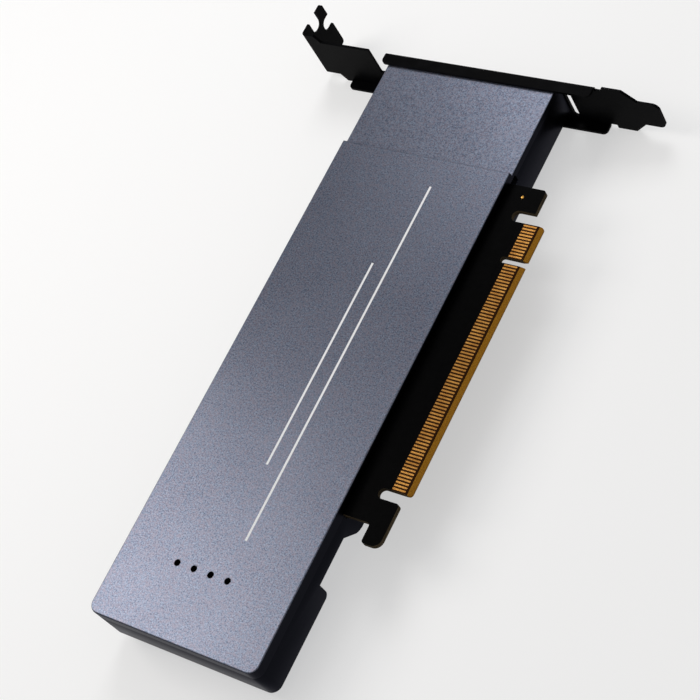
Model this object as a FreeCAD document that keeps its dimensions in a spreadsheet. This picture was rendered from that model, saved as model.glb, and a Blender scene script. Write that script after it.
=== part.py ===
import FreeCAD, Part
import math
import os
from types import SimpleNamespace

import Sketcher
from FreeCAD import Placement, Rotation, Vector

# Adapter card that carries four M.2 drives in one sixteen-lane slot: a circuit board between
# two aluminium half shells, closed at one end by a full-height steel slot bracket.
#
# All pieces are drawn from one datum on the card and moved together to the model's origin.
# Datum: x = 0 at the lower edge of the edge connector, y = 0 at the middle of its key notch,
# z = 0 on the board's solder face. +X points out of the connector, +Y to the bracket and +Z
# out of the solder side.

document = FreeCAD.newDocument("AdapterCard")
sheet = document.addObject("Spreadsheet::Sheet", "Sizes")

DRIVING_SIZES = [
    # slot bracket, folded from sheet steel
    ("bracket_length", 120.02, "outer face of the screw tab to the end of the tail"),
    ("bracket_width", 18.42, "long edge to long edge of the plate, and width of the screw tab"),
    ("steel", 0.86, "sheet thickness"),
    ("bracket_setback", 57.15, "key notch to the plate's inner face"),
    ("board_inset", 2.2, "plate's solder-side edge to the board's solder face"),
    ("tail_reach", 14.26, "connector's lower edge to the end of the tail"),
    ("tab_depth", 11.43, "reach of the screw tab past the plate's outer face"),
    ("tab_raise", 3.0, "how far the tab stands out past the plate's solder-side edge"),
    ("tab_root", 4.4, "length of plate that keeps the tab's raised width"),
    ("tab_slope", 1.6, "length of the slope from the raised width to the plate's width"),
    ("screw_notch", 4.42, "width of both notches in the tab"),
    ("screw_notch_depth", 3.9, "depth of the notch in the tab's outer edge"),
    ("screw_notch_inset", 7.2, "tab's raised edge to the middle of the outer-edge notch"),
    ("side_notch_depth", 5.3, "depth of the notch in the tab's raised edge"),
    ("side_notch_inset", 5.55, "plate's outer face to the middle of that notch"),
    ("lip_depth", 3.1, "reach of the folded lips past the plate's inner face"),
    ("upper_lip_length", 70.9, "solder-side lip"),
    ("lower_lip_length", 91.2, "component-side lip"),
    ("lip_end_inset", 4.7, "connector's lower edge to the end of both lips"),
    ("lip_corner", 1.4, "rounded ends of the lips"),
    ("fold_round", 1.1, "outer rounding of the folds"),
    ("tab_corner", 1.1, "rounded corners of the screw tab"),
    ("tail_corner", 2.0, "rounded corners of the tail"),
    ("relief_width", 2.4, "bend relief at the end of the lips"),
    ("relief_depth", 1.4, "bend relief, into the plate"),
    ("corner_gap", 6.4, "width of the cut-out beside the solder-side lip"),
    ("corner_gap_depth", 10.7, "depth of that cut-out"),
    ("tail_width", 10.19, "width of the tail"),
    ("tail_length", 6.5, "straight part of the tail"),
    ("tail_slope", 4.0, "length of the slopes into the tail"),
    ("vent_width", 1.9, "width of a vent slot"),
    ("vent_length", 13.2, "length of a vent slot"),
    ("vent_pitch", 5.5, "spacing of the vent slots"),
    ("vent_inset", 14.8, "connector's lower edge to the middle of the first vent slot"),
    ("vent_count", 8, "vent slots between the two bracket screws"),
    # half shells
    ("shell_depth", 14.0, "outside depth of the two shells together"),
    ("shell_setback", 16.05, "connector's lower edge to the shells' side"),
    ("shell_wall", 2.0, "side and end walls"),
    ("step_height", 1.6, "drop from the main face to the seat of the bracket's lip"),
    ("step_length", 32.0, "length of the lower seat"),
    ("face_thickness", 1.7, "back shell's main face"),
    ("seat_thickness", 0.84, "back shell's lower seat"),
    ("floor_thickness", 2.0, "front shell's floor"),
    ("shell_corner", 3.0, "radius of the far corners"),
    ("edge_round", 0.4, "rounding of the back shell's top edges"),
    ("latch_start", 101.0, "key notch to the far side of the slot-latch relief"),
    ("latch_length", 14.0, "length of the relief at its roof"),
    ("latch_slope", 4.5, "run of the sloped side of the relief"),
    ("latch_height", 5.6, "height of the relief above the floor's outer face"),
    ("latch_depth", 4.8, "reach of the relief into the shell"),
    ("latch_wall", 1.5, "wall that lines the relief"),
    ("slot_overrun", 3.0, "wall slot past the board's tab"),
    ("slot_gap", 0.15, "wall slot above the board's solder face and past its far end"),
    ("slot_drop", 1.2, "wall slot below the board's component face"),
    # board
    ("board_thickness", 1.57, "laminate"),
    ("board_gap", 0.4, "board's edges to the shell walls"),
    ("connector_near", 12.15, "key notch to the bracket-side end of the connector"),
    ("connector_far", 72.15, "key notch to the far end of the connector"),
    ("key_width", 1.9, "key notch"),
    ("key_depth", 8.1, "key notch"),
    ("tab_near", 23.4, "key notch to the board tab's bracket-side edge"),
    ("tab_far", 15.7, "key notch to the board tab's other edge"),
    ("tab_inset", 4.5, "connector's lower edge to the board tab's edge"),
    ("tab_notch_depth", 11.0, "connector's lower edge to the end of the notch beside the tab"),
    ("end_notch_width", 3.05, "notch between the connector and the retention hook"),
    ("end_notch_depth", 9.4, "connector's lower edge to the end of that notch"),
    ("hook_inset", 2.0, "connector's lower edge to the hook's outer edge"),
    ("hook_width", 5.5, "width of the hook"),
    ("hook_end", 88.1, "key notch to the tip of the hook"),
    ("hook_toe", 2.5, "rounded outer corner of the hook's tip"),
    ("board_exit", 82.4, "key notch to the board's far edge outside the shell"),
    ("bevel_length", 1.6, "bevel on the connector"),
    ("bevel_depth", 0.55, "bevel on each face"),
    ("board_corner", 0.9, "rounded corners of the tab and hook"),
    # gold contacts
    ("contact_pitch", 1.0, "spacing of the contacts"),
    ("contact_width", 0.7, "contact"),
    ("contact_start", 2.05, "connector's lower edge to a contact"),
    ("contact_length", 4.05, "contact"),
    ("contact_film", 0.05, "plated thickness"),
    ("contact_offset", 1.5, "key notch to the first contact on each side"),
    ("contacts_near", 11, "contacts on the bracket side of the key"),
    ("contacts_far", 71, "contacts on the far side of the key"),
    # drive bays: two columns and two rows, sockets back to back; the shells are as large as
    # the bays and these margins need
    ("bay_width", 22.0, "width of an M.2 module"),
    ("bay_gap", 3.0, "between the two columns"),
    ("bay_side_gap", 1.85, "outer column to the shells' wall"),
    ("power_lane", 4.45, "nearer column to the shells' wall, with the power parts in it"),
    ("near_margin", 7.65, "module screws to the bracket's plate"),
    ("far_margin", 9.3, "module screws to the shells' far end"),
    ("module_length", 80.0, "module's plugged edge to its screw"),
    ("module_seat", 3.2, "module's plugged edge to the back of the socket"),
    ("row_gap", 4.6, "socket backs apart"),
    ("socket_width", 21.9, "M.2 socket"),
    ("socket_depth", 8.7, "M.2 socket, lower jaw"),
    ("socket_jaw", 6.5, "M.2 socket, upper jaw"),
    ("socket_height", 4.2, "M.2 socket"),
    ("module_height", 2.45, "board to the underside of a module"),
    ("module_slot", 0.9, "mouth of the socket"),
    ("socket_key_offset", 6.1, "middle of the socket to its key rib"),
    ("socket_key_width", 1.3, "key rib"),
    ("standoff_diameter", 5.0, "M.2 standoff"),
    ("standoff_bore", 1.6, "thread in the standoff"),
    ("m2_head_diameter", 4.6, "M.2 screw head"),
    ("m2_head_height", 0.9, "M.2 screw head"),
    ("m2_screw_length", 2.2, "M.2 screw below its head"),
    ("thread_gap", 0.05, "screws inside their threads, all round"),
    ("pad_width", 20.0, "thermal pad"),
    ("pad_margin", 14.0, "how much shorter a thermal pad is than a module"),
    ("pad_thickness", 2.0, "thermal pad"),
    ("pad_start", 5.0, "socket's front to the pad"),
    # fasteners
    ("boss_diameter", 4.4, "screw bosses in both shells"),
    ("boss_inset", 2.4, "inner wall to the middle of a boss"),
    ("boss_end_inset", 4.8, "shells' far end to the middle of the end bosses"),
    ("shell_screw", 2.0, "thread of the shell screws"),
    ("shell_screw_hole", 2.3, "clearance hole in the front shell and board"),
    ("shell_screw_head", 3.8, "countersunk head"),
    ("shell_screw_grip", 2.2, "thread length in the back shell"),
    ("bracket_screw", 2.5, "thread of the bracket screws"),
    ("bracket_screw_hole", 2.8, "clearance hole in the plate"),
    ("bracket_screw_head", 4.6, "pan head"),
    ("bracket_head_height", 1.5, "pan head"),
    ("bracket_screw_grip", 5.0, "thread length in the front shell"),
    ("end_block_width", 4.6, "blocks that take the bracket screws"),
    ("end_block_length", 7.0, "blocks that take the bracket screws"),
    # lamps and power parts
    ("lamp_hole", 2.0, "holes over the status lamps"),
    ("lamp_pitch", 5.75, "spacing of the lamps"),
    ("lamp_inset", 20.5, "shells' far end to the row of lamps"),
    ("lamp_row_offset", 19.25, "shells' outer side away from the connector to the first lamp"),
    ("lamp_length", 1.6, "lamp body"),
    ("lamp_width", 0.8, "lamp body"),
    ("lamp_height", 0.6, "lamp body"),
    ("resistor_length", 1.0, "lamp resistor"),
    ("resistor_width", 0.5, "lamp resistor"),
    ("resistor_height", 0.35, "lamp resistor"),
    ("resistor_offset", 2.6, "lamp to its resistor"),
    ("package_bevel", 0.3, "bevelled rims of the inductors and capacitors"),
    ("coil_size", 4.0, "power inductor"),
    ("coil_height", 1.9, "power inductor"),
    ("stage_pitch", 14.0, "power stage to power stage"),
    ("stage_offset", 14.0, "middle line between the rows to the first power stage"),
    ("chip_size", 3.0, "regulator"),
    ("chip_height", 0.9, "regulator"),
    ("chip_offset", 5.5, "inductor to its regulator"),
    ("clock_size", 5.0, "clock buffer"),
    ("clock_offset", 22.0, "middle line between the rows to the clock buffer"),
    ("capacitor_length", 3.5, "bulk capacitor"),
    ("capacitor_width", 2.8, "bulk capacitor"),
    ("capacitor_height", 1.9, "bulk capacitor"),
    ("capacitor_offset", 17.0, "middle line between the rows to the bulk capacitors"),
]

PLACES = [
    ("bay_length", "=module_length + module_seat + row_gap / 2", "middle line to a module's screw"),
    ("shell_length", "=near_margin + 2 * bay_length + far_margin", "bracket plate to the far end"),
    ("bays_width", "=2 * bay_width + bay_gap", "both columns"),
    ("shell_width", "=2 * shell_wall + bay_side_gap + bays_width + power_lane", "outside width"),
    ("row_middle", "=bracket_setback - near_margin - bay_length", "middle line between the rows"),
    ("pad_length", "=module_length - pad_margin", "thermal pad"),
    ("origin_x", "=bracket_length / 2 - tail_reach", "datum in the model's frame"),
    ("origin_y", "=(shell_length - steel - tab_depth) / 2 - bracket_setback", "datum"),
    ("origin_z", "=bracket_width - board_inset", "datum"),
    ("plate_top", "=board_inset", "plate's solder-side edge"),
    ("plate_bottom", "=board_inset - bracket_width", "plate's component-side edge"),
    ("tab_face", "=tail_reach - bracket_length", "outer face of the screw tab"),
    ("shell_right", "=-shell_setback", "shells' side towards the connector"),
    ("shell_left", "=-shell_setback - shell_width", "shells' other side"),
    ("shell_near", "=bracket_setback", "shells' end at the bracket"),
    ("shell_far", "=bracket_setback - shell_length", "shells' far end"),
    ("seat_top", "=board_inset - steel", "lower seat, under the bracket's lip"),
    ("shell_top", "=board_inset - steel + step_height", "back shell's main face"),
    ("shell_bottom", "=board_inset - steel + step_height - shell_depth", "front shell's floor"),
    ("parting", "=-board_thickness / 2", "plane where the two shells meet"),
    ("floor_top", "=board_inset - steel + step_height - shell_depth + floor_thickness", "floor"),
]


class Size:
    """A number with the spreadsheet expression that drives it."""

    def __init__(self, text, value):
        self.text = text
        self.value = value

    def __add__(self, other):
        other = as_size(other)
        return Size(f"({self.text} + {other.text})", self.value + other.value)

    def __sub__(self, other):
        other = as_size(other)
        return Size(f"({self.text} - {other.text})", self.value - other.value)

    def __mul__(self, other):
        other = as_size(other)
        return Size(f"({self.text} * {other.text})", self.value * other.value)

    def __truediv__(self, other):
        other = as_size(other)
        return Size(f"({self.text} / {other.text})", self.value / other.value)

    def __neg__(self):
        return Size(f"(-1 * {self.text})", -self.value)


def as_size(number):
    if isinstance(number, Size):
        return number
    return Size(repr(float(number)), float(number))


def fill_sheet():
    """Write both tables into the sheet and give every cell back as a Size."""
    names = []
    for row, (name, content, note) in enumerate(DRIVING_SIZES + PLACES, start=1):
        sheet.set(f"A{row}", name)
        sheet.set(f"B{row}", str(content))
        sheet.set(f"C{row}", note)
        sheet.setAlias(f"B{row}", name)
        names.append(name)
    document.recompute()
    return SimpleNamespace(**{name: Size(f"Sizes.{name}", float(sheet.get(name))) for name in names})


s = fill_sheet()


# ---------------------------------------------------------------- shared modelling steps

def new_body(label):
    body = document.addObject("PartDesign::Body", label)
    body.Label = label
    body.AllowCompound = True
    return body


def constrain(sketch, geometry, point, axis, place):
    """Hold one coordinate of a sketch point at its place from the datum."""
    place = as_size(place)
    if place.text == "0.0":
        line = -2 if axis == "DistanceX" else -1
        sketch.addConstraint(Sketcher.Constraint("PointOnObject", geometry, point, line))
        return
    index = sketch.addConstraint(Sketcher.Constraint(axis, -1, 1, geometry, point, place.value))
    sketch.setExpression(f"Constraints[{index}]", place.text)


def new_sketch(body, plane, name, level):
    sketch = body.newObject("Sketcher::SketchObject", name)
    support = [item for item in body.Origin.OriginFeatures if item.Role == plane][0]
    sketch.AttachmentSupport = [(support, "")]
    sketch.MapMode = "FlatFace"
    level = as_size(level)
    if plane == "XZ_Plane":
        level = -level
    sketch.AttachmentOffset = Placement(Vector(0, 0, level.value), Rotation())
    sketch.setExpression("AttachmentOffset.Base.z", level.text)
    return sketch


def draw_outline(sketch, corners):
    """A closed outline through the corners, each tied to the sheet in both directions."""
    corners = [(as_size(across), as_size(along)) for across, along in corners]
    first = sketch.GeometryCount
    count = len(corners)
    for index, (across, along) in enumerate(corners):
        next_across, next_along = corners[(index + 1) % count]
        start = Vector(across.value, along.value, 0)
        end = Vector(next_across.value, next_along.value, 0)
        sketch.addGeometry(Part.LineSegment(start, end), False)
    for index in range(count):
        joint = (first + index, 2, first + (index + 1) % count, 1)
        sketch.addConstraint(Sketcher.Constraint("Coincident", *joint))
    for index, (across, along) in enumerate(corners):
        constrain(sketch, first + index, 1, "DistanceX", across)
        constrain(sketch, first + index, 1, "DistanceY", along)


def draw_circle(sketch, across, along, diameter):
    across, along, diameter = as_size(across), as_size(along), as_size(diameter)
    centre = Vector(across.value, along.value, 0)
    circle = sketch.addGeometry(Part.Circle(centre, Vector(0, 0, 1), diameter.value / 2), False)
    constrain(sketch, circle, 3, "DistanceX", across)
    constrain(sketch, circle, 3, "DistanceY", along)
    index = sketch.addConstraint(Sketcher.Constraint("Diameter", circle, diameter.value))
    sketch.setExpression(f"Constraints[{index}]", diameter.text)


def draw_slot(sketch, across, along, width, length):
    """An upright slot with round ends."""
    across, along = as_size(across), as_size(along)
    radius = as_size(width) / 2
    reach = as_size(length) / 2 - radius
    ends = []
    for side, first_angle in ((1, 0.0), (-1, math.pi)):
        level = along + reach * side
        centre = Vector(across.value, level.value, 0)
        circle = Part.Circle(centre, Vector(0, 0, 1), radius.value)
        arc = sketch.addGeometry(Part.ArcOfCircle(circle, first_angle, first_angle + math.pi), False)
        constrain(sketch, arc, 3, "DistanceX", across)
        constrain(sketch, arc, 3, "DistanceY", level)
        constrain(sketch, arc, 1, "DistanceX", across + radius * side)
        constrain(sketch, arc, 1, "DistanceY", level)
        constrain(sketch, arc, 2, "DistanceY", level)
        ends.append((arc, level))
    (upper, upper_level), (lower, lower_level) = ends
    for side, upper_point, lower_point in ((-1, 2, 1), (1, 1, 2)):
        edge = (across + radius * side).value
        start = Vector(edge, upper_level.value, 0)
        line = sketch.addGeometry(Part.LineSegment(start, Vector(edge, lower_level.value, 0)), False)
        sketch.addConstraint(Sketcher.Constraint("Coincident", line, 1, upper, upper_point))
        sketch.addConstraint(Sketcher.Constraint("Coincident", line, 2, lower, lower_point))


def rectangle(left, right, low, high):
    return [(left, low), (right, low), (right, high), (left, high)]


def grow(body, name, sketch, length, reverse=False):
    pad = body.newObject("PartDesign::Pad", name)
    pad.Profile = sketch
    pad.Length = as_size(length).value
    pad.setExpression("Length", as_size(length).text)
    pad.Reversed = reverse
    return settle(body, pad)


def dig(body, name, sketch, length, reverse=False):
    """Cut a sketch into the body along its normal, or against it, and make sure it cuts."""
    before = body.Shape.Volume
    pocket = body.newObject("PartDesign::Pocket", name)
    pocket.Profile = sketch
    pocket.Length = as_size(length).value
    pocket.setExpression("Length", as_size(length).text)
    pocket.Reversed = reverse
    settle(body, pocket)
    if body.Shape.Volume >= before:
        raise RuntimeError(f"{body.Label}: {name} cuts nothing")
    return pocket


def settle(body, feature):
    body.Tip = feature
    document.recompute()
    if "Invalid" in feature.State or feature.Shape.isNull():
        raise RuntimeError(f"{body.Label}: {feature.Label} fails: {feature.State}")
    return feature


def pad_on(body, plane, name, level, corners, length, reverse=False):
    sketch = new_sketch(body, plane, f"{name}_sketch", level)
    draw_outline(sketch, corners)
    return grow(body, name, sketch, length, reverse)


def cut_on(body, plane, name, level, corners, length, reverse=False):
    sketch = new_sketch(body, plane, f"{name}_sketch", level)
    draw_outline(sketch, corners)
    return dig(body, name, sketch, length, reverse)


def circles_on(body, name, level, centres, diameter):
    sketch = new_sketch(body, "XY_Plane", f"{name}_sketch", level)
    for across, along in centres:
        draw_circle(sketch, across, along, diameter)
    return sketch


def repeat(body, name, feature, axis_role, length, count, reverse=False):
    """A straight row of a feature along one of the body's axes."""
    row = body.newObject("PartDesign::LinearPattern", name)
    row.Originals = [feature]
    axis = [item for item in body.Origin.OriginFeatures if item.Role == axis_role][0]
    row.Direction = (axis, [""])
    row.Reversed = reverse
    row.Length = as_size(length).value
    row.setExpression("Length", as_size(length).text)
    row.Occurrences = int(round(as_size(count).value))
    row.setExpression("Occurrences", as_size(count).text)
    return settle(body, row)


def straight_edges(shape, axis, places, tolerance=0.02):
    """Names of the edges along an axis that pass through the given places.

    A place holds x, y and z, with None for a coordinate that may have any value.
    """
    found = []
    for number, edge in enumerate(shape.Edges, start=1):
        if len(edge.Vertexes) != 2:
            continue
        start, end = edge.Vertexes[0].Point, edge.Vertexes[1].Point
        run = end - start
        if run.Length < 1e-6 or abs(abs(run.normalize().dot(axis)) - 1) > 1e-4:
            continue
        middle = edge.CenterOfMass
        for place in places:
            pairs = zip((middle.x, middle.y, middle.z), place)
            if all(want is None or abs(have - as_size(want).value) < tolerance for have, want in pairs):
                found.append(f"Edge{number}")
                break
    return found


def closed_edges(shape, axis, level, diameter, tolerance=0.01):
    """Names of the round edges of one diameter that lie flat at a level of X, Y or Z."""
    found = []
    for number, edge in enumerate(shape.Edges, start=1):
        low = getattr(edge.BoundBox, f"{axis}Min")
        high = getattr(edge.BoundBox, f"{axis}Max")
        flat = abs(low - level) < tolerance and abs(high - level) < tolerance
        if len(edge.Vertexes) == 1 and flat and abs(edge.Length / diameter - math.pi) < tolerance:
            found.append(f"Edge{number}")
    return found


def soften(body, name, edges, radius, kind="Fillet"):
    """Round or bevel named edges of the body's last feature."""
    if not edges:
        raise RuntimeError(f"{body.Label}: {name} finds no edge")
    base = body.Tip
    feature = body.newObject(f"PartDesign::{kind}", name)
    feature.Base = (base, edges)
    target = "Radius" if kind == "Fillet" else "Size"
    setattr(feature, target, as_size(radius).value)
    feature.setExpression(target, as_size(radius).text)
    return settle(body, feature)


def body_edges(body, axis, places):
    return straight_edges(body.Tip.Shape, axis, places)


ALONG_X = Vector(1, 0, 0)
ALONG_Y = Vector(0, 1, 0)
ALONG_Z = Vector(0, 0, 1)
CLEAR = 1.0          # how far a cut runs past the face that it opens


# ---------------------------------------------------------------- shared places

inner_left = s.shell_left + s.shell_wall
inner_right = s.shell_right - s.shell_wall
inner_far = s.shell_far + s.shell_wall
board_bottom = -s.board_thickness
step_edge = s.shell_near - s.step_length
face_ceiling = s.shell_top - s.face_thickness
seat_ceiling = s.seat_top - s.seat_thickness
boss_left = inner_left + s.boss_inset
boss_right = inner_right - s.boss_inset
boss_far = s.shell_far + s.boss_end_inset
shell_screw_places = [
    (boss_left, boss_far),
    (boss_right, boss_far),
    (boss_left, s.row_middle),
    (boss_right, s.row_middle),
]
plate_middle = s.plate_top - s.bracket_width / 2
bracket_screw_places = [
    inner_right - s.end_block_width / 2,
    inner_left + s.end_block_width / 2,
]
shell_middle = (s.shell_left + s.shell_right) / 2
first_vent = shell_middle + s.vent_pitch * (s.vent_count - 1) / 2
bracket_screw_level = (s.floor_top - s.board_thickness) / 2
lamp_line = s.shell_far + s.lamp_inset
lamp_places = [(s.shell_left + s.lamp_row_offset + s.lamp_pitch * index, lamp_line) for index in range(4)]
near_column = inner_right - s.power_lane - s.bay_width / 2
columns = [near_column, near_column - s.bay_width - s.bay_gap]
coil_line = inner_right - s.power_lane / 2
tank_line = near_column - s.bay_width / 2 - s.bay_gap / 2
slot_far = -s.board_exit - s.slot_gap
slot_near = s.tab_near + s.slot_overrun


class Row:
    """One row of drive bays; direction is +1 towards the bracket and -1 away from it."""

    def __init__(self, direction):
        self.direction = direction
        self.socket_back = s.row_middle + s.row_gap / 2 * direction
        self.socket_front = self.socket_back + s.socket_depth * direction
        self.standoff = self.socket_back + (s.module_seat + s.module_length) * direction


rows = [Row(1), Row(-1)]


# ---------------------------------------------------------------- half shells

def build_back_shell():
    """Half shell over the solder side, with the lower seat for the bracket's lip."""
    body = new_body("back_shell")
    outline = rectangle(s.shell_left, s.shell_right, s.shell_far, s.shell_near)
    pad_on(body, "XY_Plane", "case", s.parting, outline, s.seat_top - s.parting)
    outline = rectangle(s.shell_left, s.shell_right, s.shell_far, step_edge)
    pad_on(body, "XY_Plane", "main_face", s.seat_top, outline, s.step_height)
    corners = [(s.shell_left, s.shell_far, None), (s.shell_right, s.shell_far, None)]
    soften(body, "far_corners", body_edges(body, ALONG_Z, corners), s.shell_corner)
    rims = [
        (s.shell_left, None, s.shell_top),
        (s.shell_right, None, s.shell_top),
        (None, s.shell_far, s.shell_top),
        (s.shell_left, None, s.seat_top),
        (s.shell_right, None, s.seat_top),
        (None, step_edge, s.shell_top),
    ]
    edges = body_edges(body, ALONG_Y, rims) + body_edges(body, ALONG_X, rims)
    soften(body, "edge_round", edges, s.edge_round)
    hollow = rectangle(inner_left, inner_right, inner_far, s.shell_near + CLEAR)
    cut_on(body, "XY_Plane", "seat_hollow", s.parting, hollow, seat_ceiling - s.parting, True)
    hollow = rectangle(inner_left, inner_right, inner_far, step_edge - s.shell_wall)
    cut_on(body, "XY_Plane", "face_hollow", seat_ceiling, hollow, face_ceiling - seat_ceiling, True)
    wall_slot = rectangle(inner_right - CLEAR, s.shell_right + CLEAR, slot_far, slot_near)
    cut_on(body, "XY_Plane", "board_slot", s.parting, wall_slot, s.slot_gap - s.parting, True)
    posts = circles_on(body, "bosses", 0, shell_screw_places, s.boss_diameter)
    grow(body, "bosses", posts, face_ceiling + s.face_thickness / 2)
    threads = circles_on(body, "threads", 0, shell_screw_places, s.shell_screw)
    dig(body, "threads", threads, s.shell_screw_grip, True)
    holes = circles_on(body, "lamp_holes", face_ceiling - CLEAR, lamp_places, s.lamp_hole)
    dig(body, "lamp_holes", holes, s.face_thickness + 2 * CLEAR, True)
    return body


def build_front_shell():
    """Tray over the component side, with the relief that clears the slot's latch."""
    body = new_body("front_shell")
    outline = rectangle(s.shell_left, s.shell_right, s.shell_far, s.shell_near)
    pad_on(body, "XY_Plane", "case", s.shell_bottom, outline, s.parting - s.shell_bottom)
    corners = [(s.shell_left, s.shell_far, None), (s.shell_right, s.shell_far, None)]
    soften(body, "far_corners", body_edges(body, ALONG_Z, corners), s.shell_corner)
    hollow = rectangle(inner_left, inner_right, inner_far, s.shell_near + CLEAR)
    cut_on(body, "XY_Plane", "hollow", s.parting, hollow, s.parting - s.floor_top)
    wall_slot = rectangle(inner_right - CLEAR, s.shell_right + CLEAR, slot_far, slot_near)
    cut_on(body, "XY_Plane", "board_slot", s.parting, wall_slot, s.parting - board_bottom + s.slot_drop)
    floor_middle = s.floor_top - s.floor_thickness / 2
    posts = circles_on(body, "bosses", floor_middle, shell_screw_places, s.boss_diameter)
    grow(body, "bosses", posts, board_bottom - s.floor_top + s.floor_thickness / 2)
    add_end_blocks(body)
    cut_latch_relief(body)
    holes = circles_on(body, "screw_holes", s.shell_bottom - CLEAR, shell_screw_places, s.shell_screw_hole)
    dig(body, "screw_holes", holes, board_bottom - s.shell_bottom + 2 * CLEAR, True)
    mouths = closed_edges(body.Tip.Shape, "Z", s.shell_bottom.value, s.shell_screw_hole.value)
    soften(body, "countersinks", mouths, (s.shell_screw_head - s.shell_screw_hole) / 2, "Chamfer")
    return body


def add_end_blocks(body):
    """Blocks in the open end's corners that take the bracket screws."""
    end = s.shell_near - s.end_block_length
    left_block = rectangle(inner_left - CLEAR, inner_left + s.end_block_width, end, s.shell_near)
    right_block = rectangle(inner_right - s.end_block_width, inner_right + CLEAR, end, s.shell_near)
    height = board_bottom - s.floor_top + s.floor_thickness / 2
    level = s.floor_top - s.floor_thickness / 2
    pad_on(body, "XY_Plane", "left_block", level, left_block, height)
    pad_on(body, "XY_Plane", "right_block", level, right_block, height)
    sketch = new_sketch(body, "XZ_Plane", "bracket_threads_sketch", s.shell_near)
    for across in bracket_screw_places:
        draw_circle(sketch, across, bracket_screw_level, s.bracket_screw)
    dig(body, "bracket_threads", sketch, s.bracket_screw_grip + CLEAR, True)


def cut_latch_relief(body):
    """A notch with one sloped side in the lower edge, lined on the inside."""
    roof = s.shell_bottom + s.latch_height
    far = -s.latch_start
    near = far + s.latch_length
    lining = rectangle(
        s.shell_right - s.latch_depth - s.latch_wall,
        inner_right + CLEAR,
        far - s.latch_wall,
        near + s.latch_slope + s.latch_wall,
    )
    level = s.floor_top - s.floor_thickness / 2
    pad_on(body, "XY_Plane", "latch_lining", level, lining, roof + s.latch_wall - level)
    slope = [
        (far, s.shell_bottom - CLEAR),
        (far, roof),
        (near, roof),
        (near + s.latch_slope, s.shell_bottom),
        (near + s.latch_slope, s.shell_bottom - CLEAR),
    ]
    start = s.shell_right - s.latch_depth
    cut_on(body, "YZ_Plane", "latch_relief", start, slope, s.latch_depth + CLEAR, True)


# ---------------------------------------------------------------- board and contacts

def build_main_board():
    """Circuit board with its edge connector, locating tab and retention hook."""
    body = new_body("main_board")
    left = inner_left + s.board_gap
    right = inner_right - s.board_gap
    far = inner_far + s.board_gap
    near = s.shell_near - s.board_gap
    half_key = s.key_width / 2
    end_notch_far = -s.connector_far - s.end_notch_width
    hook_inner = -s.hook_inset - s.hook_width
    outline = [
        (left, near),
        (left, far),
        (right, far),
        (right, -s.board_exit),
        (hook_inner, -s.board_exit),
        (hook_inner, -s.hook_end),
        (-s.hook_inset, -s.hook_end),
        (-s.hook_inset, end_notch_far),
        (-s.end_notch_depth, end_notch_far),
        (-s.end_notch_depth, -s.connector_far),
        (0, -s.connector_far),
        (0, -half_key),
        (-s.key_depth, -half_key),
        (-s.key_depth, half_key),
        (0, half_key),
        (0, s.connector_near),
        (-s.tab_notch_depth, s.connector_near),
        (-s.tab_notch_depth, s.tab_far),
        (-s.tab_inset, s.tab_far),
        (-s.tab_inset, s.tab_near),
        (right, s.tab_near),
        (right, near),
    ]
    pad_on(body, "XY_Plane", "laminate", board_bottom, outline, s.board_thickness)
    holes = circles_on(body, "screw_holes", board_bottom - CLEAR, shell_screw_places, s.shell_screw_hole)
    dig(body, "screw_holes", holes, s.board_thickness + 2 * CLEAR, True)
    tab_notch = [
        (-s.tab_notch_depth, s.connector_near, None),
        (-s.tab_notch_depth, s.tab_far, None),
    ]
    radius = (s.tab_far - s.connector_near) * 0.49
    soften(body, "tab_notch_round", body_edges(body, ALONG_Z, tab_notch), radius)
    end_notch = [
        (-s.end_notch_depth, end_notch_far, None),
        (-s.end_notch_depth, -s.connector_far, None),
    ]
    soften(body, "end_notch_round", body_edges(body, ALONG_Z, end_notch), s.end_notch_width * 0.49)
    key_notch = [(-s.key_depth, -half_key, None), (-s.key_depth, half_key, None)]
    soften(body, "key_round", body_edges(body, ALONG_Z, key_notch), s.key_width * 0.49)
    corners = [
        (hook_inner, -s.board_exit, None),
        (-s.hook_inset, end_notch_far, None),
        (-s.tab_inset, s.tab_near, None),
        (0, s.connector_near, None),
        (0, -s.connector_far, None),
    ]
    soften(body, "outer_corners", body_edges(body, ALONG_Z, corners), s.board_corner)
    toe = [(-s.hook_inset, -s.hook_end, None)]
    soften(body, "hook_toe", body_edges(body, ALONG_Z, toe), s.hook_toe)
    toe = [(hook_inner, -s.hook_end, None)]
    soften(body, "hook_heel", body_edges(body, ALONG_Z, toe), s.board_corner)
    length = s.connector_near + s.connector_far
    solder_bevel = [(-s.bevel_length, 0), (0, -s.bevel_depth), (CLEAR, -s.bevel_depth), (CLEAR, 0)]
    cut_on(body, "XZ_Plane", "solder_bevel", s.connector_near, solder_bevel, length, True)
    lower = board_bottom + s.bevel_depth
    component_bevel = [(-s.bevel_length, board_bottom), (CLEAR, board_bottom), (CLEAR, lower), (0, lower)]
    cut_on(body, "XZ_Plane", "component_bevel", s.connector_near, component_bevel, length, True)
    return body


def build_edge_contacts():
    """Gold contacts on both faces of the connector, in two rows on each face."""
    body = new_body("edge_contacts")
    outer = -s.contact_start
    inner = outer - s.contact_length
    half = s.contact_width / 2
    groups = [("near", 1, s.contacts_near), ("far", -1, s.contacts_far)]
    faces = [("solder", Size("0.0", 0.0)), ("component", board_bottom - s.contact_film)]
    for face_name, level in faces:
        for group_name, side, count in groups:
            middle = s.contact_offset * side
            pad = rectangle(inner, outer, middle - half, middle + half)
            name = f"{face_name}_{group_name}"
            contact = pad_on(body, "XY_Plane", name, level, pad, s.contact_film)
            run = s.contact_pitch * (count - 1)
            repeat(body, f"{name}_row", contact, "Y_Axis", run, count, side < 0)
    return body


# ---------------------------------------------------------------- drive bays

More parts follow.
